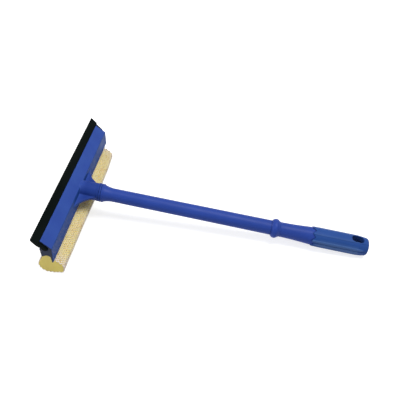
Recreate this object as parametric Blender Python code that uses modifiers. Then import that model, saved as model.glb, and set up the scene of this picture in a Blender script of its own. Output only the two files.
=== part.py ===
"""A hand squeegee for windshields: rubber blade, netted sponge, moulded head, screwed-in handle.

Every piece is laid out in the tool's own frame: the origin is where the handle's axis crosses
the head, +X runs along the handle to its grip, +Y along the head, and +Z up from the sponge to
the blade. The whole tool is then tipped a little, as it lies on a table on its sponge and grip.
"""

import math

import bmesh
import bpy
from mathutils import Vector

# Clearances and cuts
GAP = 0.0003
HOLE_CLEARANCE = 0.0003
THREAD_CLEARANCE = 0.0004
OVERRUN = 0.002
MERGE = 0.00001

# Head: its section across its length
HEAD_LENGTH = 0.1938
HEAD_BASE_LENGTH = 0.1978
TOP_FACE_WIDTH = 0.0145
TOP_FACE_SLOPE = math.radians(36)
LIP_THICKNESS = 0.0018
LIP_ROUND = 0.0004
RIDGE_HEIGHT = 0.0080
RIDGE_ROUND = 0.0010
REAR_HEIGHT = 0.0198
REAR_LEAN = 0.0009
LEG_TIP_WIDTH = 0.0012
LEG_TIP_DROP = 0.0014
LEG_ROUND = 0.0005
ARCH_TOP = 0.0034
ARCH_FRONT_INSET = 0.0020
ARCH_FRONT_ROUND = 0.0028
ARCH_BACK_INSET = 0.0052
ARCH_BACK_ROUND = 0.0040
JAW_BACK = 0.0118
JAW_FOOT = 0.0069
JAW_CORNER_OUT = 0.0090
JAW_CORNER_DEPTH = 0.0102
JAW_CORNER_ROUND = 0.0009
MOUTH_DEPTH = 0.0069
MOUTH_LAND = 0.0004

# Blade
BLADE_LENGTH = 0.2025
BLADE_ROOT_LENGTH = 0.197
BLADE_REACH = 0.0240
BLADE_EDGE = 0.0009
BLADE_UNDER_TOP_FACE = 0.0003
BEAD_RADIUS = 0.0029
BEAD_OUT = 0.0050
BLADE_ROOT_THICKNESS = 0.0056
BLADE_TAPER_THICKNESS = 0.0027
BLADE_TAPER_SHARE = 0.75

# Socket on the head, and the webs beside it
SOCKET_REACH = 0.0214
SOCKET_RADIUS = 0.0103
SOCKET_ROOT_RADIUS = 0.0096
SOCKET_ROOT_DEPTH = 0.0012
SOCKET_BEAD_WIDTH = 0.0022
SOCKET_BEAD_PROUD = 0.0004
BORE_FLOOR = 0.0030
WEB_SPREAD = 0.0310
WEB_THICKNESS = 0.0030
WEB_CURVE_POWER = 0.7
WEB_STEPS = 12

# Washer and stud
WASHER_THICKNESS = 0.0018
WASHER_RADIUS = 0.0107
WASHER_ROUND = 0.0004
STUD_CORE_RADIUS = 0.0052
STUD_TIP_GAP = 0.0012
STUD_CHAMFER = 0.0008
SHANK_LENGTH = 0.0240
THREAD_HEIGHT = 0.0010
THREAD_PITCH = 0.0040
THREAD_TURNS = 3.5
THREAD_START = 0.0022
THREAD_POINTS_PER_TURN = 16

# Tube of the handle
COLLAR_RADIUS = 0.0107
COLLAR_FLAT = 0.0022
COLLAR_ROUND = 0.0005
CONE_START_RADIUS = 0.0100
CONE_LENGTH = 0.0105
CONE_CURVE_POWER = 1.7
CONE_STEPS = 5
TUBE_LENGTH = 0.1985
TUBE_START_RADIUS = 0.0079
TUBE_END_RADIUS = 0.0085
SPIGOT_RADIUS = 0.0068
TUBE_BORE_RADIUS = 0.0047

# Guard: the ring and the neck behind it
GUARD_LENGTH = 0.0483
RING_RADIUS = 0.0112
RING_START = 0.0010
RING_CENTRE = 0.0056
RING_END = 0.0112
RING_STEPS = 5
NECK_START_RADIUS = 0.0086
NECK_END_RADIUS = 0.0105
NECK_CURVE_POWER = 1.7
NECK_STEPS = 6

# Grip
GRIP_LENGTH = 0.0645
GRIP_START_RADIUS = 0.0110
GRIP_START_ROUND = 0.0005
GRIP_RADIUS = 0.0112
GRIP_SWELL = 0.0090
GRIP_TAPER = 0.0128
GRIP_END_RADIUS = 0.0103
GRIP_END_ROUND = 0.0028
GRIP_END_STEPS = 6
GRIP_WIDE_SHARE = 1.03
GRIP_TALL_SHARE = 0.98
GRIP_SEAM_HEIGHT = 0.0012
SPIGOT_IN_GRIP = 0.0350
HANG_HOLE_LENGTH = 0.0145
HANG_HOLE_WIDTH = 0.0090
HANG_HOLE_FROM_END = 0.0135

# Screws of the grip
GRIP_SCREW_RADIUS = 0.0015
GRIP_SCREW_HEAD_RADIUS = 0.0027
GRIP_SCREW_HEAD_HEIGHT = 0.0018
GRIP_SCREW_RECESS = 0.0010
GRIP_SCREW_COVER = 0.0022
GRIP_SCREW_FRONT = 0.0110
GRIP_SCREW_SPACING = 0.0160
DRIVE_WIDTH_SHARE = 1.1
DRIVE_DEPTH_SHARE = 0.6
DRIVE_SIDES = 6

# Sponge: shares of its width, from the channel's middle, and of its depth below the leg
SPONGE_LENGTH = 0.1890
SPONGE_WIDTH = 0.0278
SPONGE_DEPTH = 0.0236
SPONGE_TUCK_SHARE = 0.5
SPONGE_SHOULDER_SHARE = 0.6
SPONGE_BACK_SHARES = (
    (-0.281, 0.06),
    (-0.374, 0.335),
    (-0.432, 0.61),
    (-0.331, 0.855),
)
SPONGE_REST_SHARES = (-0.027, 0.98)
SPONGE_REST_LENGTH = 0.0080
SPONGE_FRONT_SHARES = (
    (0.324, 0.905),
    (0.518, 0.80),
    (0.568, 0.57),
    (0.558, 0.36),
    (0.407, 0.20),
)

# Net round the sponge
NET_THICKNESS = 0.0006
NET_STRAND = 0.0012
NET_COLUMNS = 24
NET_SHORTEST_GAP = 0.0045
NET_TUCK_SHARE = 0.4

# Strip that holds the sponge, and its screws
STRIP_LENGTH = 0.1800
STRIP_WIDTH = 0.0038
STRIP_THICKNESS = 0.0014
STRIP_DROP = 0.0008
STRIP_BACKSET = 0.0007
STRIP_SCREW_RADIUS = 0.0010
STRIP_SCREW_HEAD_RADIUS = 0.0018
STRIP_SCREW_HEAD_HEIGHT = 0.0011
STRIP_SCREW_BITE = 0.0050
STRIP_SCREW_INNER = 0.0280
STRIP_SCREW_OUTER = 0.0780

# Smoothness of round shapes
ROUND_SIDES = 40
HOLE_SIDES = 24
SMALL_SIDES = 12
CORNER_STEPS = 3
BEAD_STEPS = 14


def clear_scene():
    for thing in list(bpy.data.objects):
        bpy.data.objects.remove(thing, do_unlink=True)


def new_collection(name, helper=False):
    collection = bpy.data.collections.new(name)
    collection.hide_render = helper
    bpy.context.scene.collection.children.link(collection)
    return collection


def new_material(name, colour, roughness, metallic=0.0):
    material = bpy.data.materials.new(name)
    material.use_nodes = True
    shader = material.node_tree.nodes["Principled BSDF"]
    shader.inputs["Base Color"].default_value = (*colour, 1.0)
    shader.inputs["Roughness"].default_value = roughness
    shader.inputs["Metallic"].default_value = metallic
    material.diffuse_color = (*colour, 1.0)
    return material


def new_empty(name, parent=None):
    empty = bpy.data.objects.new(name, None)
    empty.parent = parent
    PARTS.objects.link(empty)
    return empty


def new_object(name, mesh, parent, material=None, location=(0, 0, 0), rotation=(0, 0, 0)):
    """A piece of the squeegee where it has a material, or else a cutter."""
    thing = bpy.data.objects.new(name, mesh)
    thing.location = location
    thing.rotation_euler = rotation
    thing.parent = parent
    if material:
        mesh.materials.append(material)
        PARTS.objects.link(thing)
    else:
        thing.hide_render = True
        thing.display_type = "WIRE"
        CUTTERS.objects.link(thing)
    return thing


# Shapes


def arc(centre, radius, start, end, steps):
    """Points on a circle from one angle to another."""
    points = []
    for step in range(steps + 1):
        angle = start + (end - start) * step / steps
        points.append(Vector(centre) + radius * Vector((math.cos(angle), math.sin(angle))))
    return points


def rounded(corners):
    """The outline through corners, each (point, radius), with an arc at each that has a radius."""
    outline = []
    for index, (corner, radius) in enumerate(corners):
        corner = Vector(corner)
        if not radius:
            outline.append(corner)
            continue
        back = (Vector(corners[index - 1][0]) - corner).normalized()
        ahead = (Vector(corners[(index + 1) % len(corners)][0]) - corner).normalized()
        half = back.angle(ahead) / 2
        centre = corner + (back + ahead).normalized() * (radius / math.sin(half))
        first = corner + back * (radius / math.tan(half)) - centre
        last = corner + ahead * (radius / math.tan(half)) - centre
        start = math.atan2(first.y, first.x)
        turn = math.atan2(first.cross(last), first.dot(last))
        outline += arc(centre, radius, start, start + turn, CORNER_STEPS)
    return outline


def moved_out(path, distance):
    """An open anticlockwise path moved outwards, each corner along the line that halves it."""
    sides = [(end - start).normalized() for start, end in zip(path, path[1:])]
    normals = [Vector((side.y, -side.x)) for side in sides]
    moved = []
    for point, before, after in zip(path, normals[:1] + normals, normals + normals[-1:]):
        middle = (before + after).normalized()
        moved.append(point + middle * (distance / middle.dot(before)))
    return moved


def as_closed_mesh(curve):
    """The mesh of a curve with filled ends, joined up along its edges."""
    drawn = bpy.data.objects.new(curve.name, curve)
    CUTTERS.objects.link(drawn)
    graph = bpy.context.evaluated_depsgraph_get()
    mesh = bpy.data.meshes.new_from_object(drawn.evaluated_get(graph))
    bpy.data.objects.remove(drawn, do_unlink=True)
    shape = bmesh.new()
    shape.from_mesh(mesh)
    bmesh.ops.remove_doubles(shape, verts=shape.verts, dist=MERGE)
    bmesh.ops.recalc_face_normals(shape, faces=shape.faces)
    shape.to_mesh(mesh)
    shape.free()
    return mesh


def extruded(name, outline, thickness, parent, material=None, location=(0, 0, 0), rotation=(0, 0, 0)):
    """A flat outline given a thickness, half of it to each side."""
    curve = bpy.data.curves.new(name, "CURVE")
    curve.dimensions = "2D"
    curve.fill_mode = "BOTH"
    curve.extrude = thickness / 2
    spline = curve.splines.new("POLY")
    spline.points.add(len(outline) - 1)
    for point, place in zip(spline.points, outline):
        point.co = (place[0], place[1], 0, 1)
    spline.use_cyclic_u = True
    return new_object(name, as_closed_mesh(curve), parent, material, location, rotation)


def along_head(name, outline, length, parent, material=None, location=(0, 0, 0)):
    """An outline in the tool's X and Z, run along the head."""
    return extruded(name, outline, length, parent, material, location, (math.pi / 2, 0, 0))


def turned(name, profile, parent, material=None, location=(0, 0, 0), upright=False, sides=ROUND_SIDES):
    """A profile of (place, radius) turned about the handle's axis, or about an upright one.

    It runs along the outer side from its far or upper end to its near or lower one. A profile
    that doesn't start on the axis is a closed loop, so the piece has a bore.
    """
    mesh = bpy.data.meshes.new(name)
    points = [(radius, 0, place) for place, radius in profile]
    edges = [(index, index + 1) for index in range(len(points) - 1)]
    if points[0][0]:
        edges.append((len(points) - 1, 0))
    mesh.from_pydata(points, edges, [])
    rotation = (0, 0, 0) if upright else (0, math.pi / 2, 0)
    thing = new_object(name, mesh, parent, material, location, rotation)
    screw = thing.modifiers.new("Turn", "SCREW")
    screw.axis = "Z"
    screw.steps = sides
    screw.render_steps = sides
    screw.use_merge_vertices = True
    screw.merge_threshold = MERGE
    return thing


def cylinder(name, radius, foot, tip, parent, sides=HOLE_SIDES):
    """A round cutter from foot to tip."""
    foot = Vector(foot)
    tip = Vector(tip)
    mesh = bpy.data.meshes.new(name)
    shape = bmesh.new()
    bmesh.ops.create_cone(
        shape,
        cap_ends=True,
        segments=sides,
        radius1=radius,
        radius2=radius,
        depth=(tip - foot).length,
    )
    shape.to_mesh(mesh)
    shape.free()
    rotation = (tip - foot).to_track_quat("Z", "Y").to_euler()
    return new_object(name, mesh, parent, None, (foot + tip) / 2, rotation)


def block(name, low, high, parent):
    """A box-shaped cutter from its lowest corner to its highest."""
    low = Vector(low)
    high = Vector(high)
    mesh = bpy.data.meshes.new(name)
    shape = bmesh.new()
    bmesh.ops.create_cube(shape, size=1)
    bmesh.ops.scale(shape, vec=high - low, verts=shape.verts)
    shape.to_mesh(mesh)
    shape.free()
    return new_object(name, mesh, parent, None, (low + high) / 2)


def combine(thing, other, operation):
    boolean = thing.modifiers.new(other.name, "BOOLEAN")
    boolean.operation = operation
    boolean.solver = "EXACT"
    boolean.object = other


def screw_shape(name, sizes, length, parent, material, seat, sides):
    """A pan-head screw that points up, with the underside of its head at the seat."""
    radius, head_radius, head_height = sizes
    profile = [
        (length, 0),
        (length - radius, radius),
        (0, radius),
        (0, head_radius),
        (-head_height, head_radius),
        (-head_height, 0),
    ]
    screw = turned(name, profile, parent, material, seat, upright=True, sides=sides)
    drive = cylinder(
        name + "_drive",
        radius * DRIVE_WIDTH_SHARE,
        Vector(seat) - Vector((0, 0, head_height + OVERRUN)),
        Vector(seat) - Vector((0, 0, head_height * (1 - DRIVE_DEPTH_SHARE))),
        parent,
        DRIVE_SIDES,
    )
    combine(screw, drive, "DIFFERENCE")


# Places along the handle


def washer_start():
    return SOCKET_REACH + GAP


def tube_start():
    return washer_start() + WASHER_THICKNESS + GAP


def guard_start():
    return tube_start() + TUBE_LENGTH + GAP


def grip_start():
    return guard_start() + GUARD_LENGTH + GAP


def spigot_end():
    return grip_start() + SPIGOT_IN_GRIP


def grip_screw_places():
    first = grip_start() + GRIP_SCREW_FRONT
    return [first, first + GRIP_SCREW_SPACING]


# The head's section, in the tool's X and Z


def on_top_face(out, rise):
    """A point by its way out from the ridge along the top face, and its rise off that face."""
    return Vector((
        -REAR_LEAN / 2 - out * math.cos(TOP_FACE_SLOPE) + rise * math.sin(TOP_FACE_SLOPE),
        RIDGE_HEIGHT + out * math.sin(TOP_FACE_SLOPE) + rise * math.cos(TOP_FACE_SLOPE),
    ))


def rear_foot():
    return Vector((REAR_LEAN / 2, RIDGE_HEIGHT - REAR_HEIGHT))


def leg_tip():
    return rear_foot() - Vector((LEG_TIP_WIDTH, LEG_TIP_DROP))


def jaw_foot():
    return Vector((-JAW_BACK, -JAW_FOOT))


def arch_front():
    return Vector((leg_tip().x - ARCH_FRONT_INSET, -ARCH_TOP))


def arch_back():
    return Vector((jaw_foot().x + ARCH_BACK_INSET, -ARCH_TOP))


def groove_radius():
    return BEAD_RADIUS + GAP


def groove_centre():
    """The blade groove's centre, by its way out along the top face and its rise off it."""
    return Vector((BEAD_OUT, -LIP_THICKNESS - groove_radius()))


def head_section():
    centre = groove_centre()
    radius = groove_radius()
    mouth_angle = math.asin((-MOUTH_DEPTH - centre.y) / radius)
    mouth_out = centre.x + radius * math.cos(mouth_angle)
    groove = [
        on_top_face(point.x, point.y)
        for point in arc(centre, radius, mouth_angle, -3 * math.pi / 2, BEAD_STEPS)
    ]
    outside = rounded([
        (on_top_face(TOP_FACE_WIDTH, -LIP_THICKNESS), LIP_ROUND),
        (on_top_face(TOP_FACE_WIDTH, 0), LIP_ROUND),
        (on_top_face(0, 0), RIDGE_ROUND),
        (rear_foot(), LEG_ROUND),
        (leg_tip(), LEG_ROUND),
        (arch_front(), ARCH_FRONT_ROUND),
        (arch_back(), ARCH_BACK_ROUND),
        (jaw_foot(), LEG_ROUND),
        (on_top_face(JAW_CORNER_OUT, -JAW_CORNER_DEPTH), JAW_CORNER_ROUND),
        (on_top_face(mouth_out + MOUTH_LAND, -MOUTH_DEPTH), 0),
        (groove[-1], 0),
    ])
    return outside[:-1] + groove


def blade_section():
    """The blade's section about its bead's centre."""
    centre = groove_centre()
    top = -BLADE_UNDER_TOP_FACE
    under_lip = -LIP_THICKNESS - GAP
    shoulder = TOP_FACE_WIDTH + GAP
    taper = shoulder + (BLADE_REACH - shoulder) * BLADE_TAPER_SHARE
    neck_angle = math.asin((-MOUTH_DEPTH + GAP - centre.y) / BEAD_RADIUS)
    outline = arc(centre, BEAD_RADIUS, neck_angle, -3 * math.pi / 2, BEAD_STEPS)
    outline += [
        Vector((shoulder, under_lip)),
        Vector((shoulder, top)),
        Vector((BLADE_REACH, top)),
        Vector((BLADE_REACH, top - BLADE_EDGE)),
        Vector((taper, top - BLADE_TAPER_THICKNESS)),
        Vector((TOP_FACE_WIDTH, top - BLADE_ROOT_THICKNESS)),
    ]
    origin = on_top_face(centre.x, centre.y)
    return [on_top_face(point.x, point.y) - origin for point in outline]


# The sponge's section


def net_room():
    """The space that the net takes between the foam and the head."""
    return NET_THICKNESS + 2 * GAP


def inside_wall(foot, top, share, distance):
    """A point a share of the way up a wall of the channel, and a distance in from it."""
    along = (top - foot).normalized()
    inward = Vector((along.y, -along.x)) if foot.x < top.x else Vector((-along.y, along.x))
    return foot.lerp(top, share) + inward * distance


def beside_leg(share, distance):
    return inside_wall(leg_tip(), arch_front(), share, distance)


def beside_jaw(share, distance):
    return inside_wall(jaw_foot(), arch_back(), share, distance)


def fan_point(shares):
    """A point of the foam below the legs."""
    middle = (leg_tip().x + jaw_foot().x) / 2
    return Vector((middle + shares[0] * SPONGE_WIDTH, leg_tip().y - shares[1] * SPONGE_DEPTH))


def rest_slope():
    """How far the tool tips for both its sponge and its grip to lie on the table."""
    sponge = fan_point(SPONGE_REST_SHARES)
    grip = grip_start() + GRIP_LENGTH - GRIP_TAPER
    drop = -sponge.y + GAP + NET_THICKNESS - GRIP_RADIUS * GRIP_TALL_SHARE
    return math.atan2(drop, grip - sponge.x)


def rest_points():
    """The two ends of the foam's flat underside, level with the table."""
    middle = fan_point(SPONGE_REST_SHARES)
    half = Vector((math.cos(rest_slope()), math.sin(rest_slope()))) * SPONGE_REST_LENGTH / 2
    return [middle - half, middle + half]


def sponge_wrap(tuck_share):
    """The foam's sides and underside, anticlockwise from the jaw: the net goes round them."""
    room = net_room()
    return (
        [beside_jaw(tuck_share, room), jaw_foot() - Vector((0, room))]
        + [fan_point(shares) for shares in SPONGE_BACK_SHARES]
        + rest_points()
        + [fan_point(shares) for shares in SPONGE_FRONT_SHARES]
        + [leg_tip() - Vector((0, room)), beside_leg(0, room), beside_leg(tuck_share, room)]
    )


def sponge_section():
    """The wrapped foam, and the part of it that is pressed up into the channel."""
    arch = rounded([
        (beside_leg(SPONGE_SHOULDER_SHARE, 0), 0),
        (arch_front(), ARCH_FRONT_ROUND),
        (arch_back(), ARCH_BACK_ROUND),
        (beside_jaw(SPONGE_SHOULDER_SHARE, 0), 0),
    ])
    return sponge_wrap(SPONGE_TUCK_SHARE) + moved_out(arch, -GAP)


# The head and what it holds


def slant_ends(solid, half_at):
    """Gives a solid that runs along the head its half length at each point of its section."""
    for vertex in solid.data.vertices:
        vertex.co.z = math.copysign(half_at(vertex.co), vertex.co.z)


def head_half(point):
    """The head is longer at its legs than at its ridge."""
    lean = (HEAD_BASE_LENGTH - HEAD_LENGTH) / 2 / REAR_HEIGHT
    return HEAD_LENGTH / 2 + (RIDGE_HEIGHT - point.y) * lean


def blade_half(point):
    """The blade is longer at its wiping edge than at its bead."""
    out = BEAD_RADIUS + point.y * math.sin(TOP_FACE_SLOPE) - point.x * math.cos(TOP_FACE_SLOPE)
    share = out / (BEAD_RADIUS + BLADE_REACH - BEAD_OUT)
    return (BLADE_ROOT_LENGTH + (BLADE_LENGTH - BLADE_ROOT_LENGTH) * share) / 2


def web_outline():
    """Two webs in one: their free edges sweep in from the head to the socket's sides."""
    reach = SOCKET_REACH - SOCKET_BEAD_WIDTH
    spread = WEB_SPREAD - SOCKET_RADIUS
    side = []
    for step in range(WEB_STEPS + 1):
        share = step / WEB_STEPS
        rise = (1 - share ** WEB_CURVE_POWER) ** (1 / WEB_CURVE_POWER)
        side.append(Vector((reach * share, SOCKET_RADIUS + spread * rise)))
    other_side = [Vector((point.x, -point.y)) for point in reversed(side)]
    root = [Vector((-SOCKET_ROOT_DEPTH, -WEB_SPREAD)), Vector((-SOCKET_ROOT_DEPTH, WEB_SPREAD))]
    return side + other_side + root


def socket_profile():
    bead_start = SOCKET_REACH - SOCKET_BEAD_WIDTH
    return [
        (SOCKET_REACH, 0),
        (SOCKET_REACH, SOCKET_RADIUS),
        (SOCKET_REACH - SOCKET_BEAD_PROUD, SOCKET_RADIUS + SOCKET_BEAD_PROUD),
        (bead_start, SOCKET_RADIUS + SOCKET_BEAD_PROUD),
        (bead_start - SOCKET_BEAD_PROUD, SOCKET_RADIUS),
        (SOCKET_REACH / 2, SOCKET_RADIUS),
        (-SOCKET_ROOT_DEPTH, SOCKET_ROOT_RADIUS),
        (-SOCKET_ROOT_DEPTH, 0),
    ]


def thread_bore_radius():
    """The bore round the stud's thread, in the socket and in the washer."""
    return STUD_CORE_RADIUS + THREAD_HEIGHT + THREAD_CLEARANCE


def strip_top():
    return -ARCH_TOP - STRIP_DROP


def strip_bottom():
    return strip_top() - STRIP_THICKNESS


def strip_middle():
    return (arch_front().x + arch_back().x) / 2 - STRIP_BACKSET


def strip_screw_ways():
    """Where the strip's screws stand along the head."""
    return (-STRIP_SCREW_OUTER, -STRIP_SCREW_INNER, STRIP_SCREW_INNER, STRIP_SCREW_OUTER)


def cut_strip_screw_holes(thing, low, high, parent):
    for number, way in enumerate(strip_screw_ways(), 1):
        hole = cylinder(
            f"{thing.name}_screw_hole_{number}",
            STRIP_SCREW_RADIUS + HOLE_CLEARANCE,
            (strip_middle(), way, low),
            (strip_middle(), way, high),
            parent,
            SMALL_SIDES,
        )
        combine(thing, hole, "DIFFERENCE")


def make_head(parent, material):
    head = along_head("head_body", head_section(), HEAD_LENGTH, parent, material)
    slant_ends(head, head_half)
    combine(head, turned("socket_shape", socket_profile(), parent), "UNION")
    combine(head, extruded("web_shape", web_outline(), WEB_THICKNESS, parent), "UNION")
    bore = cylinder(
        "socket_bore",
        thread_bore_radius(),
        (BORE_FLOOR, 0, 0),
        (SOCKET_REACH + OVERRUN, 0, 0),
        parent,
        ROUND_SIDES,
    )
    combine(head, bore, "DIFFERENCE")
    hole_top = strip_top() + STRIP_SCREW_BITE + HOLE_CLEARANCE
    cut_strip_screw_holes(head, strip_top() - OVERRUN, hole_top, parent)


def make_blade(parent, material):
    centre = groove_centre()
    place = on_top_face(centre.x, centre.y)
    outline = blade_section()
    blade = along_head("blade_rubber", outline, BLADE_LENGTH, parent, material, (place.x, 0, place.y))
    slant_ends(blade, blade_half)


def make_sponge(parent, material):
    """The foam, with a pocket in its top for the strip and its screws' heads."""
    foam = along_head("sponge_foam", sponge_section(), SPONGE_LENGTH, parent, material)
    half_length = STRIP_LENGTH / 2 + GAP
    low = strip_bottom() - STRIP_SCREW_HEAD_HEIGHT - 2 * GAP
    left = strip_middle() - STRIP_WIDTH / 2 - GAP
    pocket = block(
        "strip_pocket",
        (left, -half_length, low),
        (leg_tip().x, half_length, -ARCH_TOP + OVERRUN),
        parent,
    )
    combine(foam, pocket, "DIFFERENCE")


def net_sheet(path):
    """A sheet along the path with a row of oblong gaps in each of its longer facets."""
    shape = bmesh.new()
    columns = []
    for column in range(NET_COLUMNS + 1):
        along = SPONGE_LENGTH * (column / NET_COLUMNS - 1 / 2)
        columns.append([shape.verts.new((point.x, along, point.y)) for point in path])
    panels = []
    for near, far in zip(columns, columns[1:]):
        for index, (start, end) in enumerate(zip(path, path[1:])):
            face = shape.faces.new((near[index], near[index + 1], far[index + 1], far[index]))
            if (end - start).length > NET_SHORTEST_GAP:
                panels.append(face)
    shape.normal_update()
    bmesh.ops.inset_individual(shape, faces=panels, thickness=NET_STRAND / 2)
    bmesh.ops.delete(shape, geom=panels, context="FACES_ONLY")
    bmesh.ops.recalc_face_normals(shape, faces=shape.faces)
    mesh = bpy.data.meshes.new("sponge_net")
    shape.to_mesh(mesh)
    shape.free()
    return mesh


def make_net(parent, material):
    path = moved_out(sponge_wrap(NET_TUCK_SHARE), GAP + NET_THICKNESS / 2)
    net = new_object("sponge_net", net_sheet(path), parent, material)
    wall = net.modifiers.new("Strand", "SOLIDIFY")
    wall.thickness = NET_THICKNESS
    wall.offset = 0
    wall.use_even_offset = True


def make_strip(parent, material):
    right = strip_middle() + STRIP_WIDTH / 2
    left = strip_middle() - STRIP_WIDTH / 2
    outline = rounded([
        ((right, strip_bottom()), LIP_ROUND),
        ((right, strip_top()), LIP_ROUND),
        ((left, strip_top()), LIP_ROUND),
        ((left, strip_bottom()), LIP_ROUND),
    ])
    strip = along_head("sponge_clamp_strip", outline, STRIP_LENGTH, parent, material)
    cut_strip_screw_holes(strip, strip_bottom() - OVERRUN, strip_top() + OVERRUN, parent)


def make_strip_screws(parent, material):
    sizes = (STRIP_SCREW_RADIUS, STRIP_SCREW_HEAD_RADIUS, STRIP_SCREW_HEAD_HEIGHT)
    length = STRIP_THICKNESS + GAP + STRIP_SCREW_BITE
    for number, way in enumerate(strip_screw_ways(), 1):
        seat = (strip_middle(), way, strip_bottom() - GAP)
        screw_shape(f"strip_screw_{number}", sizes, length, parent, material, seat, SMALL_SIDES)


# The handle


def make_washer(parent, material):
    start = washer_start()
    end = start + WASHER_THICKNESS
    profile = [
        (end, WASHER_RADIUS - WASHER_ROUND),
        (end - WASHER_ROUND, WASHER_RADIUS),
        (start + WASHER_ROUND, WASHER_RADIUS),
        (start, WASHER_RADIUS - WASHER_ROUND),
        (start, thread_bore_radius()),
        (end, thread_bore_radius()),
    ]
    turned("seat_washer", profile, parent, material)


def thread_shape(start, parent):
    """The ridge of the stud's thread: a bar wound round the core."""
    curve = bpy.data.curves.new("thread_shape", "CURVE")
    curve.dimensions = "3D"
    curve.bevel_depth = THREAD_HEIGHT
    curve.bevel_resolution = 1
    curve.use_fill_caps = True
    spline = curve.splines.new("POLY")
    spline.points.add(round(THREAD_TURNS * THREAD_POINTS_PER_TURN))
    for index, point in enumerate(spline.points):
        turn = index / THREAD_POINTS_PER_TURN
        angle = 2 * math.pi * turn
        point.co = (
            start + turn * THREAD_PITCH,
            STUD_CORE_RADIUS * math.cos(angle),
            STUD_CORE_RADIUS * math.sin(angle),
            1,
        )
    return new_object("thread_shape", as_closed_mesh(curve), parent)


def make_stud(parent, material):
    start = BORE_FLOOR + STUD_TIP_GAP
    shoulder = tube_start() - GAP
    end = tube_start() + SHANK_LENGTH
    shank_radius = TUBE_BORE_RADIUS - GAP
    profile = [
        (end, 0),
        (end, shank_radius - STUD_CHAMFER),
        (end - STUD_CHAMFER, shank_radius),
        (shoulder, shank_radius),
        (shoulder, STUD_CORE_RADIUS),
        (start + STUD_CHAMFER, STUD_CORE_RADIUS),
        (start, STUD_CORE_RADIUS - STUD_CHAMFER),
        (start, 0),
    ]
    stud = turned("threaded_stud", profile, parent, material)
    combine(stud, thread_shape(start + THREAD_START, parent), "UNION")


def tube_outside():
    """From the collar's face, over its cone, to the end of the spigot inside the grip."""
    start = tube_start()
    cone_start = start + COLLAR_FLAT
    end = start + TUBE_LENGTH
    outside = [
        (start, COLLAR_RADIUS - COLLAR_ROUND),
        (start + COLLAR_ROUND, COLLAR_RADIUS),
        (cone_start - COLLAR_ROUND, COLLAR_RADIUS),
    ]
    for step in range(CONE_STEPS + 1):
        share = step / CONE_STEPS
        fall = (CONE_START_RADIUS - TUBE_START_RADIUS) * (1 - share) ** CONE_CURVE_POWER
        outside.append((cone_start + CONE_LENGTH * share, TUBE_START_RADIUS + fall))
    outside += [(end, TUBE_END_RADIUS), (end, SPIGOT_RADIUS), (spigot_end(), SPIGOT_RADIUS)]
    return outside


def make_tube(parent, material):
    inside = [(tube_start(), TUBE_BORE_RADIUS), (spigot_end(), TUBE_BORE_RADIUS)]
    tube = turned("handle_tube", tube_outside()[::-1] + inside, parent, material)
    for number, place in enumerate(grip_screw_places(), 1):
        hole = cylinder(
            f"tube_screw_hole_{number}",
            GRIP_SCREW_RADIUS + HOLE_CLEARANCE,
            (place, 0, -SPIGOT_RADIUS - OVERRUN),
            (place, 0, SPIGOT_RADIUS + OVERRUN),
            parent,
            SMALL_SIDES,
        )
        combine(tube, hole, "DIFFERENCE")


def guard_outside():
    """From the ring's sharp front, over the ring, to the end of the neck behind it."""
    rise = RING_RADIUS - NECK_START_RADIUS
    outside = [(0, NECK_START_RADIUS)]
    for step in range(RING_STEPS + 1):
        angle = math.pi / 2 * step / RING_STEPS
        way = RING_CENTRE - (RING_CENTRE - RING_START) * math.cos(angle)
        outside.append((way, NECK_START_RADIUS + rise * math.sin(angle)))
    for step in range(1, RING_STEPS + 1):
        share = step / RING_STEPS
        way = RING_CENTRE + (RING_END - RING_CENTRE) * share
        height = (1 + math.cos(math.pi * share)) / 2
        outside.append((way, NECK_START_RADIUS + rise * height))
    for step in range(1, NECK_STEPS + 1):
        share = step / NECK_STEPS
        way = RING_END + (GUARD_LENGTH - RING_END) * share
        swell = (NECK_END_RADIUS - NECK_START_RADIUS) * share ** NECK_CURVE_POWER
        outside.append((way, NECK_START_RADIUS + swell))
    return outside


def make_guard(parent, material):
    bore = SPIGOT_RADIUS + GAP
    profile = guard_outside()[::-1] + [(0, bore), (GUARD_LENGTH, bore)]
    turned("guard_sleeve", profile, parent, material, (guard_start(), 0, 0))


def grip_profile():
    """The grip's outside, from its blunt end to its front."""
    centre = (GRIP_LENGTH - GRIP_END_ROUND, GRIP_END_RADIUS - GRIP_END_ROUND)
    corner = arc(centre, GRIP_END_ROUND, 0, math.pi / 2, GRIP_END_STEPS)
    return [
        (GRIP_LENGTH, 0),
        *[tuple(point) for point in corner],
        (GRIP_LENGTH - GRIP_TAPER, GRIP_RADIUS),
        (GRIP_SWELL, GRIP_RADIUS),
        (GRIP_START_ROUND, GRIP_START_RADIUS),
        (0, GRIP_START_RADIUS - GRIP_START_ROUND),
        (0, 0),
    ]


def grip_screw_seat():
    """The height of the face in the lower shell that a screw's head presses on."""
    return -GRIP_RADIUS * GRIP_TALL_SHARE + GRIP_SCREW_RECESS + GRIP_SCREW_HEAD_HEIGHT


def grip_screw_tip():
    return GRIP_RADIUS * GRIP_TALL_SHARE - GRIP_SCREW_COVER


def hang_hole_outline():
    half = HANG_HOLE_WIDTH / 2
    straight = HANG_HOLE_LENGTH / 2 - half
    quarter = math.pi / 2
    steps = HOLE_SIDES // 2
    return (
        arc((straight, 0), half, -quarter, quarter, steps)
        + arc((-straight, 0), half, quarter, 3 * quarter, steps)
    )


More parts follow.
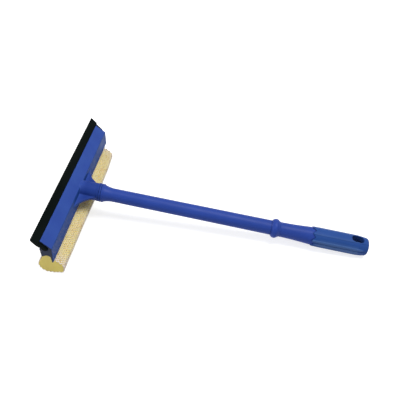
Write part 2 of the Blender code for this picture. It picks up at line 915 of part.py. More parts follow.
def grip_screw_cutters(parent):
    cutters = []
    for number, place in enumerate(grip_screw_places(), 1):
        foot = (place, 0, -GRIP_RADIUS - OVERRUN)
        cutters.append(cylinder(
            f"grip_screw_hole_{number}",
            GRIP_SCREW_RADIUS + HOLE_CLEARANCE,
            foot,
            (place, 0, grip_screw_tip() + HOLE_CLEARANCE),
            parent,
            SMALL_SIDES,
        ))
        cutters.append(cylinder(
            f"grip_screw_seat_{number}",
            GRIP_SCREW_HEAD_RADIUS + HOLE_CLEARANCE,
            foot,
            (place, 0, grip_screw_seat()),
            parent,
        ))
    return cutters


def grip_cutters(parent):
    """What the grip leaves out: the screws, the hanging hole and the tube's end."""
    spigot = cylinder(
        "spigot_bore",
        SPIGOT_RADIUS + GAP,
        (grip_start() - OVERRUN, 0, 0),
        (spigot_end() + GAP, 0, 0),
        parent,
        ROUND_SIDES,
    )
    hole = extruded(
        "hang_hole",
        hang_hole_outline(),
        2 * (GRIP_RADIUS + OVERRUN),
        parent,
        location=(grip_start() + GRIP_LENGTH - HANG_HOLE_FROM_END, 0, 0),
    )
    return grip_screw_cutters(parent) + [hole, spigot]


def make_grip(parent, material):
    """Two shells, each the whole grip less what lies beyond the seam."""
    cutters = grip_cutters(parent)
    near = grip_start() - OVERRUN
    far = grip_start() + GRIP_LENGTH + OVERRUN
    side = GRIP_RADIUS + 2 * OVERRUN
    beyond = {
        "grip_upper_shell": (-side, GRIP_SEAM_HEIGHT + GAP / 2),
        "grip_lower_shell": (GRIP_SEAM_HEIGHT - GAP / 2, side),
    }
    for name, (low, high) in beyond.items():
        shell = turned(name, grip_profile(), parent, material, (grip_start(), 0, 0))
        shell.scale = (GRIP_TALL_SHARE, GRIP_WIDE_SHARE, 1)
        other_half = block(name + "_other_half", (near, -side, low), (far, side, high), parent)
        for cutter in cutters + [other_half]:
            combine(shell, cutter, "DIFFERENCE")


def make_grip_screws(parent, material):
    sizes = (GRIP_SCREW_RADIUS, GRIP_SCREW_HEAD_RADIUS, GRIP_SCREW_HEAD_HEIGHT)
    seat = grip_screw_seat() - GAP
    length = grip_screw_tip() - seat
    for name, place in zip(("grip_screw_front", "grip_screw_rear"), grip_screw_places()):
        screw_shape(name, sizes, length, parent, material, (place, 0, seat), HOLE_SIDES)


# The whole tool


def lay_on_table(root):
    """Tips the tool onto its sponge and grip, and centres its bounding box over the origin."""
    root.rotation_euler = (0, rest_slope(), 0)
    bpy.context.view_layer.update()
    graph = bpy.context.evaluated_depsgraph_get()
    corners = []
    for thing in PARTS.objects:
        if thing.type == "MESH":
            solid = thing.evaluated_get(graph)
            corners += [solid.matrix_world @ vertex.co for vertex in solid.data.vertices]
    low = [min(corner[axis] for corner in corners) for axis in range(3)]
    high = [max(corner[axis] for corner in corners) for axis in range(3)]
    root.location = (-(low[0] + high[0]) / 2, -(low[1] + high[1]) / 2, -low[2])


clear_scene()
PARTS = new_collection("windshield_squeegee")
CUTTERS = new_collection("cutters", helper=True)

blue = new_material("moulded_blue", (0.016, 0.070, 0.360), 0.42)
grip_blue = new_material("grip_blue", (0.020, 0.078, 0.320), 0.50)
black_rubber = new_material("black_rubber", (0.006, 0.008, 0.008), 0.62)
golden_foam = new_material("golden_foam", (0.820, 0.650, 0.180), 0.95)
pale_net = new_material("pale_net", (0.900, 0.810, 0.660), 0.85)
white_nylon = new_material("white_nylon", (0.620, 0.620, 0.600), 0.55)
steel = new_material("screw_steel", (0.550, 0.550, 0.560), 0.32, 1.0)

squeegee = new_empty("squeegee")
head_frame = new_empty("head_frame", squeegee)
washer_axis = new_empty("washer_axis", head_frame)
handle_axis = new_empty("handle_axis", washer_axis)

make_head(head_frame, blue)
make_blade(head_frame, black_rubber)
make_sponge(head_frame, golden_foam)
make_net(head_frame, pale_net)
make_strip(head_frame, white_nylon)
make_strip_screws(head_frame, steel)
make_washer(washer_axis, grip_blue)
make_stud(handle_axis, white_nylon)
make_tube(handle_axis, blue)
make_guard(handle_axis, blue)
make_grip(handle_axis, grip_blue)
make_grip_screws(handle_axis, steel)
lay_on_table(squeegee)
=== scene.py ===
"""The windshield squeegee as it was photographed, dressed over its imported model.

The moulded pieces, the rubber, the foam and the net get finer forms, every surface gets its
material, and the camera stands where the photograph was taken from.
"""

import math

import bmesh
import bpy
import numpy as np
from mathutils import Matrix, Vector, noise


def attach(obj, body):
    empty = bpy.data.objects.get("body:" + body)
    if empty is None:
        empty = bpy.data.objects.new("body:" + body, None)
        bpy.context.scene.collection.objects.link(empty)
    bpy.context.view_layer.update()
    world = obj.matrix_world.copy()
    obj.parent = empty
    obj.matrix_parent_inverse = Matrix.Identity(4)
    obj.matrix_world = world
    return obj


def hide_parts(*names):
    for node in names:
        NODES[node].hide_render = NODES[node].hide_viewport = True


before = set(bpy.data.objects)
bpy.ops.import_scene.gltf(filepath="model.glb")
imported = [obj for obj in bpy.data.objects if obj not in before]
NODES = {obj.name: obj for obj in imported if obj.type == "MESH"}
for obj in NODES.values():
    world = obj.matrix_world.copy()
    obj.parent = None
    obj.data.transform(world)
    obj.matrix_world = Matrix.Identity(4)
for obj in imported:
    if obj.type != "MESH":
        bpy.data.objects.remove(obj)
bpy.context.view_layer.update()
MM = 0.001

# The tool's own frame: X along the handle, Y along the head, Z from the sponge to the blade
TOOL = Matrix((
    (0.996849, 0, 0.079319, -0.156926),
    (0, 1, 0, 0),
    (-0.079319, 0, 0.996849, 0.036556),
    (0, 0, 0, 1),
))
TO_TOOL = TOOL.inverted()

# Corners of a CAD mesh within this distance are one corner, in metres
WELD = 0.000002

# The voxel in millimetres and the smoothing passes that round a solid's edges
HEAD_REMAKE = (0.40, 4)
GRIP_REMAKE = (0.30, 3)
RUBBER_REMAKE = (0.30, 2)
FOAM_REMAKE = (0.8, 3)

# Turned pieces
TURNED_SIDES = 144
SHARP_DEGREES = 35

# Places along the handle, in millimetres of the tool's X
WASHER = (21.7, 23.5)
TUBE = (23.8, 222.3)
GUARD = (222.6, 270.9)
GRIP = (271.2, 335.7)
SPIGOT_END = 306.2

# Radii of the handle's pieces, in millimetres
COLLAR_RADIUS = 10.7
TUBE_RADII = (7.9, 8.5)
RING_RADIUS = 11.2
NECK_RADII = (8.6, 10.5)
SPIGOT_RADIUS = 6.8
SPIGOT_BORE = 7.1
THREAD_BORE = 6.6
TUBE_BORE = 4.7

# The flare behind the collar's rim, and the ring: distances from the start of their pieces
COLLAR_RIM = 2.4
FLARE_END = 12.9
RING_START = 1.0
RING_TOP = 5.6
RING_END = 11.2

# Rounds of their edges: along the handle and in radius, and the bevels
WASHER_ROUND = 0.4
COLLAR_ROUND = (0.6, 0.9)
RIM_ROUND = (0.5, 0.6)
FLARE_DROP = 0.75
EDGE_BEVEL = 0.15
NECK_DROP = 0.05

# Their curves: the power that the flare and the neck follow, and the steps
SWELL_POWER = 1.7
FLARE_STEPS = 24
RING_FRONT_STEPS = 12
RING_BACK_STEPS = 14
NECK_STEPS = 24

# Ribs along the grip, whose tips reach forward and scallop its front edge
RIBS = 8
FIRST_RIB = math.radians(115)
RIB_HALF_ANGLE = math.radians(7.0)
RIB_HEIGHT = 0.55
RIB_FADE = 5.0
RIB_ROOT_RADII = (9.4, 10.6)
RIB_FRONT = (-0.5, 2.0)
GRIP_END_ROUND = 2.5
SCALLOP = 1.6
SCALLOP_ON_NECK = (-7.0, -0.9)
SCALLOP_ON_GRIP = (0.5, 8.0)

# The seam between neck and grip, and the skirt of the grip that stands out over the neck
SEAM_BACK = 0.4
SEAM_WIDTH = 0.55
SEAM_DEPTH = 0.9
SEAM_WALL = (0.3, 0.45)
NECK_FLAT = 0.8
SKIRT_RADII = (10.47, 10.62)
SKIRT_DEPTH = 3.4
SKIRT_ROOM = 0.3

# Sponge, in millimetres. FOAM_UNEVEN has pairs of a noise's scale and its height
FOAM_SWELL = 0.16
FOAM_SWELL_DEPTH = (0.6, 3.1)
FOAM_UNEVEN = ((0.12, 0.10), (0.7, 0.07))
FOAM_SPREAD_DEPTH = (0.0, 4.0)
FOAM_FRONT_X = (-6.0, 9.0)
FOAM_GIVE = 1.3
FOAM_GIVE_Y = (-30.0, 45.0)
FOAM_END_PINCH = 1.0
FOAM_PINCH_Y = (66.0, 94.0)
FOAM_FAR_TRIM = 2.4
FOAM_TRIM_Y = (62.0, 94.0)
FOAM_CORNER = (1.0, 0.0, -1.7)
CORNER_X = (4.0, 11.0)
CORNER_Y = (74.0, 93.0)
CORNER_DEPTH = (26.0, 32.5)
JAW_Z = -8.6
LEG_TIP_Z = -13.2

# Net, in millimetres, apart from two shares: NET_THIN is what is left of NET_STRAND away from
# the hem, and NET_ROW is a row's height against NET_CELL
NET_LENGTH = 188.4
NET_OUT = 0.60
NET_STRAND = 1.05
NET_THIN = 0.68
NET_HEM = 14.0
NET_CELL = 2.6
NET_ROW = 0.8

# How far the knots stray round the foam and along the head, and the noise that it comes from.
# Its seed is fixed, because Blender otherwise takes another one each run
NET_STRAY = (0.10, 0.12)
NET_STRAY_SCALE = 0.21
NET_STRAY_LEVEL = 3.1
NET_SEED = 11

# The blade stands out further at its far end than at its near end
RUBBER_FAR_REACH = 1.4
RUBBER_NEAR_TRIM = 0.5
RUBBER_END_Y = (70.0, 98.0)


# Materials

# Places of the tints, in metres: where the socket starts behind the head and where it ends
SOCKET_START_X = (-0.1570, -0.1500)
SOCKET_END_X = (-0.1352, -0.1348)
SHADED_END_Y = (0.094, 0.095)
CREST_RADII = (0.01125, 0.01150)
SIDE_RIB_Y = (0.0045, 0.0090)
HEM_Y = (0.078, 0.094)

# How squarely a face has to look along an axis to be tinted
FACING = (0.70, 0.90)

PLASTIC_SPECULAR = 0.14
DULL_SPECULAR = 0.05
# Painted shade: the dark blue of the head's end faces, which lie in the shade of the blade
END_SHADE_BLUE = (0.016, 0.026, 0.060, 1.0)
# Painted shade: the darker blue of the socket and webs beside the head's wall
SOCKET_SHADE_BLUE = (0.014, 0.046, 0.270, 1.0)
# Painted shade: the greyer, darker blue of the head's rear faces, as their light falls on them
REAR_SHADE_BLUE = (0.020, 0.070, 0.290, 1.0)
HEAD_BLUE = (0.036, 0.090, 0.385, 1.0)
# Painted highlight: the paler blue on the crests of the grip's ribs
CREST_HIGHLIGHT_BLUE = (0.055, 0.125, 0.340, 1.0)
FOAM_STAIN = (0.92, 0.70, 0.28, 1.0)
HEM_PALE = (0.95, 0.84, 0.82, 1.0)
OCHRE_SPECK = (0.62, 0.40, 0.12, 1.0)
PINK_PATCH = (0.98, 0.78, 0.62, 1.0)


class Nodes:
    """A Principled material and the nodes that feed it."""

    def __init__(self, name, roughness=0.5, metallic=0.0, specular=0.5):
        self.material = bpy.data.materials.new(name)
        self.material.use_nodes = True
        self.tree = self.material.node_tree
        self.shader = self.tree.nodes["Principled BSDF"]
        self.shader.inputs["Roughness"].default_value = roughness
        self.shader.inputs["Metallic"].default_value = metallic
        self.shader.inputs["Specular IOR Level"].default_value = specular
        coordinates = self.add("ShaderNodeTexCoord")
        self.place = coordinates.outputs["Object"]
        self.normal = coordinates.outputs["Normal"]

    def add(self, kind, values=None, **settings):
        node = self.tree.nodes.new(kind)
        for name, value in settings.items():
            setattr(node, name, value)
        for name, value in (values or {}).items():
            node.inputs[name].default_value = value
        return node

    def link(self, source, target):
        self.tree.links.new(source, target)

    def stretched(self, scale):
        """The place on the surface, scaled by another amount along each axis."""
        mapping = self.add("ShaderNodeMapping", {"Scale": scale})
        self.link(self.place, mapping.inputs["Vector"])
        return mapping.outputs["Vector"]

    def part(self, vector, axis):
        """One axis of a vector."""
        apart = self.add("ShaderNodeSeparateXYZ")
        self.link(vector, apart.inputs["Vector"])
        return apart.outputs[axis]

    def size(self, value):
        """A value without its sign."""
        size = self.add("ShaderNodeMath", operation="ABSOLUTE")
        self.link(value, size.inputs[0])
        return size.outputs[0]

    def times(self, first, second):
        both = self.add("ShaderNodeMath", operation="MULTIPLY")
        self.link(first, both.inputs[0])
        self.link(second, both.inputs[1])
        return both.outputs[0]

    def rise(self, value, ends, low=0.0, high=1.0):
        """From low to high while the value goes from one end to the other."""
        change = self.add("ShaderNodeMapRange", {
            "From Min": ends[0], "From Max": ends[1], "To Min": low, "To Max": high,
        })
        self.link(value, change.inputs["Value"])
        return change.outputs["Result"]

    def shaded_ends(self):
        """1 on the faces that look along the head at its two ends, where shade is painted, and 0
        elsewhere.
        """
        return self.times(
            self.rise(self.size(self.part(self.normal, "Y")), FACING),
            self.rise(self.size(self.part(self.place, "Y")), SHADED_END_Y),
        )

    def behind_head(self):
        """1 on the head's socket and its webs, where shade is painted, and 0 on its top and on the
        handle.
        """
        along = self.part(self.place, "X")
        return self.times(
            self.rise(along, SOCKET_START_X), self.rise(along, SOCKET_END_X, 1.0, 0.0),
        )

    def on_head(self):
        """Patches of 1 on the head in front of its socket, and 0 elsewhere."""
        along = self.part(self.place, "X")
        return self.times(
            self.rise(along, SOCKET_START_X, 1.0, 0.0),
            self.rise(self.noise(42, 3.0), (0.38, 0.62), 0.50, 1.0),
        )

    def rear_faces(self):
        """1 on the head's faces that look along the handle, and 0 elsewhere."""
        return self.times(
            self.rise(self.part(self.normal, "X"), FACING),
            self.rise(self.part(self.place, "X"), SOCKET_END_X, 1.0, 0.0),
        )

    def crest_highlight(self):
        """1 on the crests of the grip's side ribs, where a highlight is painted, and less on
        others.
        """
        mapping = self.add("ShaderNodeMapping", {
            "Location": TOOL.translation, "Rotation": TOOL.to_euler(),
        }, vector_type="TEXTURE")
        self.link(self.place, mapping.inputs["Vector"])
        across = self.add("ShaderNodeVectorMath", operation="MULTIPLY")
        self.link(mapping.outputs["Vector"], across.inputs[0])
        across.inputs[1].default_value = (0, 1, 1)
        radius = self.add("ShaderNodeVectorMath", operation="LENGTH")
        self.link(across.outputs["Vector"], radius.inputs[0])
        return self.times(
            self.rise(radius.outputs["Value"], CREST_RADII),
            self.rise(self.size(self.part(self.place, "Y")), SIDE_RIB_Y, 0.25, 1.0),
        )

    def noise(self, scale, detail=2.0, roughness=0.5, place=None):
        texture = self.add("ShaderNodeTexNoise", {
            "Scale": scale, "Detail": detail, "Roughness": roughness,
        })
        self.link(place or self.place, texture.inputs["Vector"])
        return texture.outputs["Fac"]

    def cells(self, scale):
        """The distance from the middle of the nearest cell."""
        texture = self.add("ShaderNodeTexVoronoi", {"Scale": scale})
        self.link(self.place, texture.inputs["Vector"])
        return texture.outputs["Distance"]

    def sum(self, first, second, weight):
        """The first value and a share of the second."""
        both = self.add("ShaderNodeMath", operation="MULTIPLY_ADD")
        self.link(second, both.inputs[0])
        both.inputs[1].default_value = weight
        self.link(first, both.inputs[2])
        return both.outputs[0]

    def colours(self, value, stops):
        node = self.add("ShaderNodeValToRGB")
        ramp = node.color_ramp
        while len(ramp.elements) < len(stops):
            ramp.elements.new(0.5)
        for element, (position, colour) in zip(ramp.elements, stops):
            element.position = position
            element.color = (*colour, 1.0)
        self.link(value, node.inputs["Fac"])
        return node.outputs["Color"]

    def mixed(self, share, first, second):
        mix = self.add("ShaderNodeMix", data_type="RGBA")
        sockets = (mix.inputs[0], mix.inputs[6], mix.inputs[7])
        for socket, value in zip(sockets, (share, first, second)):
            if isinstance(value, bpy.types.NodeSocket):
                self.link(value, socket)
            else:
                socket.default_value = value
        return mix.outputs[2]

    def colour(self, source):
        self.link(source, self.shader.inputs["Base Color"])

    def rough(self, source):
        self.link(source, self.shader.inputs["Roughness"])

    def bump(self, height, strength, distance):
        bump = self.add("ShaderNodeBump", {"Strength": strength, "Distance": distance})
        self.link(height, bump.inputs["Height"])
        self.link(bump.outputs["Normal"], self.shader.inputs["Normal"])


def shaded(colour, change):
    """A colour made lighter by a share of itself, or darker by a negative one."""
    return tuple(part * (1 + change) for part in colour)


def moulded_plastic(name, colour, roughness, grain, *tints, dull=None):
    """Polypropylene: faint flow marks, a fine eroded grain, handling marks and tinted places.

    A tint is a mask and the colour that it brings; some tints are painted shade or a painted
    highlight. The mask called dull takes some gloss away.
    """
    made = Nodes(name, roughness, specular=PLASTIC_SPECULAR)
    if dull:
        gloss = made.rise(dull(made), (0.0, 1.0), PLASTIC_SPECULAR, DULL_SPECULAR)
        made.link(gloss, made.shader.inputs["Specular IOR Level"])
    flow = made.noise(26, 3.0, 0.55, made.stretched((1.0, 2.2, 2.2)))
    shown = made.colours(flow, [(0.30, shaded(colour, -0.09)), (0.72, shaded(colour, 0.09))])
    for places, tint in tints:
        shown = made.mixed(places(made), shown, tint)
    made.colour(shown)
    marks = made.noise(900, 2.0, 0.6, made.stretched((0.06, 1.0, 1.0)))
    patches = made.rise(made.noise(60, 2.0), (0.3, 0.7), roughness - 0.05, roughness + 0.05)
    made.rough(made.sum(patches, marks, 0.05))
    made.bump(made.sum(made.noise(2600, 2.0), made.noise(700, 1.0), 0.6), grain, 0.0001)
    return made.material


def rubber(name):
    """Black rubber with a faint bloom."""
    made = Nodes(name, 0.6, specular=0.02)
    bloom = made.noise(38, 4.0, 0.6, made.stretched((1.0, 0.5, 1.0)))
    made.colour(made.colours(bloom, [
        (0.35, (0.0028, 0.0052, 0.0048)), (0.75, (0.0060, 0.0092, 0.0084)),
    ]))
    made.rough(made.rise(made.noise(120, 3.0), (0.3, 0.7), 0.52, 0.68))
    made.bump(made.noise(3200, 2.0), 0.12, 0.0001)
    return made.material


def open_foam(name):
    """Cut polyurethane foam: golden, with dark pores of several sizes."""
    made = Nodes(name, 0.95, specular=0.2)
    small = made.rise(made.cells(1100), (0.0, 0.45))
    large = made.rise(made.cells(480), (0.0, 0.4))
    hollow = made.sum(small, large, 0.6)
    tone = made.colours(hollow, [
        (0.10, (0.600, 0.430, 0.080)),
        (0.50, (0.900, 0.720, 0.160)),
        (0.95, (0.960, 0.800, 0.230)),
    ])
    stain = made.rise(made.noise(30, 3.0), (0.4, 0.7), 0.0, 0.25)
    made.colour(made.mixed(stain, tone, FOAM_STAIN))
    made.bump(hollow, 0.7, 0.0004)
    return made.material


def knitted_net(name):
    """Pale polyester thread with the twist of its filaments, its specks and its paler hem."""
    made = Nodes(name, 0.7, specular=0.35)
    twist = made.noise(2600, 2.0, 0.5)
    thread = made.colours(twist, [(0.3, (0.930, 0.830, 0.600)), (0.7, (0.980, 0.920, 0.740))])
    patches = made.rise(made.noise(120, 2.0), (0.50, 0.68), 0.0, 0.75)
    hem = made.rise(made.size(made.part(made.place, "Y")), HEM_Y, 0.0, 0.9)
    aged = made.mixed(hem, made.mixed(patches, thread, PINK_PATCH), HEM_PALE)
    specks = made.rise(made.cells(330), (0.20, 0.34), 0.8, 0.0)
    made.colour(made.mixed(specks, aged, OCHRE_SPECK))
    made.shader.inputs["Sheen Weight"].default_value = 0.15
    made.bump(twist, 0.4, 0.0002)
    return made.material


def nylon(name):
    """White nylon, faintly mottled."""
    made = Nodes(name, 0.5)
    made.colour(made.colours(made.noise(90, 3.0), [
        (0.3, (0.58, 0.58, 0.55)), (0.7, (0.65, 0.65, 0.62)),
    ]))
    made.rough(made.rise(made.noise(300, 2.0), (0.3, 0.7), 0.45, 0.58))
    made.bump(made.noise(2400, 2.0), 0.1, 0.0001)
    return made.material


def plated_steel(name):
    """Bright steel with the fine lines of turning."""
    made = Nodes(name, 0.3, metallic=1.0)
    made.colour(made.colours(made.noise(500, 3.0), [
        (0.3, (0.50, 0.50, 0.52)), (0.7, (0.60, 0.60, 0.60)),
    ]))
    turning = made.noise(2500, 2.0, 0.5, made.stretched((1.0, 1.0, 0.05)))
    made.rough(made.rise(turning, (0.3, 0.7), 0.22, 0.40))
    made.bump(turning, 0.15, 0.0001)
    return made.material


# Shapes


def to_world(point):
    """A point of the tool's frame in millimetres, as a place in the row frame."""
    return TOOL @ (Vector(point) * MM)


def to_tool(place):
    """A place in the row frame, as a point of the tool's frame in millimetres."""
    return TO_TOOL @ place / MM


def share_of(value, low, high):
    """0 below low and 1 above high, with a straight rise between them."""
    return min(max((value - low) / (high - low), 0.0), 1.0)


def ramp(value, low, high):
    """0 below low and 1 above high, with a smooth rise between them."""
    share = share_of(value, low, high)
    return share * share * (3 - 2 * share)


def smooth_shaded(mesh, angle=None):
    mesh.polygons.foreach_set("use_smooth", [True] * len(mesh.polygons))
    if angle is not None:
        mesh.set_sharp_from_angle(angle=math.radians(angle))
    return mesh


def mesh_of(shape, name):
    """A bmesh as a mesh. The bmesh is freed."""
    mesh = bpy.data.meshes.new(name)
    shape.to_mesh(mesh)
    shape.free()
    return mesh


def new_piece(name, mesh, body, material, replaced):
    piece = bpy.data.objects.new(name, mesh)
    bpy.context.scene.collection.objects.link(piece)
    mesh.materials.clear()
    mesh.materials.append(material)
    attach(piece, body)
    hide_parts(*replaced)
    return piece


def evaluated(mesh, *modifiers, weights=()):
    """The mesh after some modifiers, each (kind, settings), with weights for its vertices."""
    holder = bpy.data.objects.new("holder", mesh)
    bpy.context.scene.collection.objects.link(holder)
    if weights:
        group = holder.vertex_groups.new(name="weight")
        for index, weight in enumerate(weights):
            group.add([index], weight, "REPLACE")
    for kind, settings in modifiers:
        modifier = holder.modifiers.new(kind, kind)
        for name, value in settings.items():
            setattr(modifier, name, value)
    graph = bpy.context.evaluated_depsgraph_get()
    result = bpy.data.meshes.new_from_object(holder.evaluated_get(graph))
    bpy.data.objects.remove(holder)
    return result


def welded(node):
    """A CAD node's shape with its split edges joined up."""
    shape = bmesh.new()
    shape.from_mesh(NODES[node].data)
    bmesh.ops.remove_doubles(shape, verts=shape.verts, dist=WELD)
    return shape


def softened(node, voxel, passes):
    """A CAD node with its edges rounded as a mould rounds them."""
    mesh = evaluated(
        mesh_of(welded(node), node + "_copy"),
        ("REMESH", {"mode": "VOXEL", "voxel_size": voxel * MM, "use_smooth_shade": True}),
        ("SMOOTH", {"factor": 0.5, "iterations": passes}),
    )
    return smooth_shaded(mesh)


def eased(start, end, power, steps):
    """Points from start to end whose radius settles along a curve."""
    points = []
    for step in range(steps + 1):
        share = step / steps
        radius = end[1] + (start[1] - end[1]) * (1 - share) ** power
        points.append((start[0] + (end[0] - start[0]) * share, radius))
    return points


def rolled(start, end, steps=5):
    """A quarter round from one point to another: it leaves along the radius."""
    points = []
    for step in range(steps + 1):
        angle = math.pi / 2 * step / steps
        points.append((
            start[0] + (end[0] - start[0]) * (1 - math.cos(angle)),
            start[1] + (end[1] - start[1]) * math.sin(angle),
        ))
    return points


def turned(name, profile):
    """A closed profile of (X, radius) in millimetres turned about the handle's axis."""
    shape = bmesh.new()
    rings = []
    for x, radius in profile:
        ring = []
        for side in range(TURNED_SIDES):
            angle = 2 * math.pi * side / TURNED_SIDES
            place = (x, radius * math.cos(angle), radius * math.sin(angle))
            ring.append(shape.verts.new(to_world(place)))
        rings.append(ring)
    for first, second in zip(rings, rings[1:] + rings[:1]):
        for side in range(TURNED_SIDES):
            after = (side + 1) % TURNED_SIDES
            shape.faces.new((first[side], first[after], second[after], second[side]))
    bmesh.ops.recalc_face_normals(shape, faces=shape.faces)
    return smooth_shaded(mesh_of(shape, name), SHARP_DEGREES)


# Handle


def washer_profile():
    start, end = WASHER
    low = COLLAR_RADIUS - WASHER_ROUND
    return (
        [(start, THREAD_BORE)]
        + rolled((start, low), (start + WASHER_ROUND, COLLAR_RADIUS))
        + rolled((end, low), (end - WASHER_ROUND, COLLAR_RADIUS))[::-1]
        + [(end, THREAD_BORE)]
    )


def tube_profile():
    """The collar's rim, the flare behind it, the long tube, and the spigot inside the grip."""
    start, end = TUBE
    thin, thick = TUBE_RADII
    rim = start + COLLAR_RIM
    front = ((start, COLLAR_RADIUS - COLLAR_ROUND[1]), (start + COLLAR_ROUND[0], COLLAR_RADIUS))
    back = ((rim, COLLAR_RADIUS - RIM_ROUND[1]), (rim - RIM_ROUND[0], COLLAR_RADIUS))
    flare = ((rim, COLLAR_RADIUS - FLARE_DROP), (start + FLARE_END, thin))
    return (
        [(start, TUBE_BORE)]
        + rolled(*front) + rolled(*back)[::-1]
        + eased(*flare, SWELL_POWER, FLARE_STEPS)
        + [(end - EDGE_BEVEL, thick), (end, thick - EDGE_BEVEL), (end, SPIGOT_RADIUS)]
        + [(SPIGOT_END, SPIGOT_RADIUS), (SPIGOT_END, TUBE_BORE)]
    )


def guard_profile():
    """The ring with its sharp front, and the neck that runs on under the grip's front edge."""
    start, end = GUARD
    thin, thick = NECK_RADII
    rise = RING_RADIUS - thin
    top = start + RING_TOP
    foot = start + RING_END
    front = rolled((start + RING_START, thin), (top, RING_RADIUS), RING_FRONT_STEPS)
    back = []
    for step in range(1, RING_BACK_STEPS + 1):
        share = step / RING_BACK_STEPS
        radius = thin + rise * (1 + math.cos(math.pi * share)) / 2
        back.append((top + (RING_END - RING_TOP) * share, radius))
    neck = []
    for step in range(1, NECK_STEPS + 1):
        share = step / NECK_STEPS
        neck.append((foot + (end - foot) * share, thin + (thick - thin) * share ** SWELL_POWER))
    edge = thick - NECK_DROP
    groove = thick - SEAM_DEPTH
    wall = [end - SEAM_WIDTH + along for along in SEAM_WALL]
    under = end + SKIRT_DEPTH - SKIRT_ROOM
    return (
        [(start, SPIGOT_BORE), (start, thin - EDGE_BEVEL), (start + EDGE_BEVEL, thin)]
        + front + back + neck[:-1]
        + [(end - NECK_FLAT, edge), (wall[0], edge), (wall[1], groove)]
        + [(under, groove), (under, SPIGOT_BORE)]
    )


def scallop(angle):
    """How far the seam of neck and grip lies behind its plain place, by the angle round it."""
    return SEAM_BACK - SCALLOP * math.cos(RIBS * (angle - FIRST_RIB))


def guard_mesh():
    """The ring and the neck, whose end follows the scallops of the grip's front edge."""
    mesh = turned("guard_moulding", guard_profile())
    for vertex in mesh.vertices:
        place = to_tool(vertex.co)
        past_end = place.x - GUARD[1]
        near_end = ramp(past_end, *SCALLOP_ON_NECK) * (past_end < 1.0)
        place.x += scallop(math.atan2(place.z, place.y)) * near_end
        vertex.co = to_world(place)
    return mesh


def grip_mesh(node):
    """A shell of the grip with its ribs, whose front edge is scalloped over the neck."""
    mesh = softened(node, *GRIP_REMAKE)
    end = GRIP[1] - GRIP_END_ROUND
    spacing = 2 * math.pi / RIBS
    for vertex in mesh.vertices:
        place = to_tool(vertex.co)
        past_start = place.x - GRIP[0]
        radius = math.hypot(place.y, place.z)
        angle = math.atan2(place.z, place.y)
        skirt = ramp(radius, *SKIRT_RADII)
        near_front = 1 - ramp(past_start, *SCALLOP_ON_GRIP)
        along = ramp(past_start, *RIB_FRONT) * (1 - ramp(place.x, end - RIB_FADE, end))
        place.x += (SKIRT_DEPTH * (1 - skirt) + scallop(angle) * skirt) * near_front
        from_rib = abs((angle - FIRST_RIB + spacing / 2) % spacing - spacing / 2)
        rib = math.sqrt(1 - min(from_rib / RIB_HALF_ANGLE, 1.0) ** 2)
        swell = 1 + RIB_HEIGHT * rib * along * ramp(radius, *RIB_ROOT_RADII) / radius
        place.y *= swell
        place.z *= swell
        vertex.co = to_world(place)
    return smooth_shaded(mesh)


# Sponge, net and blade


def end_outline(node):
    """The outline of a long solid's near end, in millimetres of the tool's X and Z, in order."""
    shape = welded(node)
    edge_y = min(vertex.co.y for vertex in shape.verts) + 1e-6
    flat = {face for face in shape.faces if all(vertex.co.y < edge_y for vertex in face.verts)}
    rim = [
        edge for face in flat for edge in face.edges
        if sum(other in flat for other in edge.link_faces) == 1
    ]
    ways = {}
    for edge in rim:
        for vertex, other in (edge.verts, reversed(edge.verts)):
            ways.setdefault(vertex, []).append(other)
    loop = [rim[0].verts[0], rim[0].verts[1]]
    while len(loop) < len(ways):
        loop.append(next(other for other in ways[loop[-1]] if other is not loop[-2]))
    points = [to_tool(vertex.co) for vertex in loop]
    shape.free()
    return [Vector((point.x, point.z)) for point in points]


def wrapped_path():
    """The line that the net takes round the foam, fine and smooth.

    It starts on the foam's shoulder inside the jaw and ends at the tip of the leg.
    """
    outline = end_outline("sponge_foam")
    area = sum(a.x * b.y - b.x * a.y for a, b in zip(outline, outline[1:] + outline[:1]))
    if area < 0:
        outline.reverse()
    under = [point.y < JAW_Z for point in outline]
    count = len(outline)
    first = next(index for index in range(count) if under[index] and not under[index - 1])
    turned_round = outline[first:] + outline[:first]
    shoulder = turned_round[-1]
    inside = turned_round[-2].lerp(shoulder, 0.5)
    path = [inside, shoulder] + [point for point in turned_round if point.y < JAW_Z]
    for _ in range(3):
        finer = [path[0]]
        for start, end in zip(path, path[1:]):
            finer += [start.lerp(end, 0.25), start.lerp(end, 0.75)]
        path = finer + [path[-1]]
    return path


def outward(path):
    """The way out of the foam at each point of the path."""
    ways = []
    for index in range(len(path)):
        along = path[min(index + 1, len(path) - 1)] - path[max(index - 1, 0)]
        ways.append(Vector((along.y, -along.x)).normalized())
    return ways


def on_path(path, ways, lengths, distance, out):
    """The point a distance along the path and some way out of it."""
    index = min(max(int(np.searchsorted(lengths, distance)) - 1, 0), len(path) - 2)
    share = (distance - lengths[index]) / max(lengths[index + 1] - lengths[index], 1e-9)
    way = ways[index].lerp(ways[index + 1], share).normalized()
    return path[index].lerp(path[index + 1], share) + way * out


def given(place):
    """How the soft sponge lies off its plain form at a place, in the tool's millimetres.

    Its front stands out more at its far half and less at its ends, its far end is drawn in, and
    the lower front corner of its near end is square.
    """
    to_front = share_of(place.x, *FOAM_FRONT_X)
    below = ramp(LEG_TIP_Z - place.z, *FOAM_SPREAD_DEPTH)
    pinch = FOAM_END_PINCH * ramp(abs(place.y), *FOAM_PINCH_Y)
    bulge = FOAM_GIVE * ramp(place.y, *FOAM_GIVE_Y) - pinch
    trim = FOAM_FAR_TRIM * ramp(place.y, *FOAM_TRIM_Y)
    lower_front = ramp(place.x, *CORNER_X) * ramp(-place.z, *CORNER_DEPTH)
    corner = ramp(-place.y, *CORNER_Y) * lower_front
    return Vector((bulge * to_front * below, -trim, 0)) + Vector(FOAM_CORNER) * corner


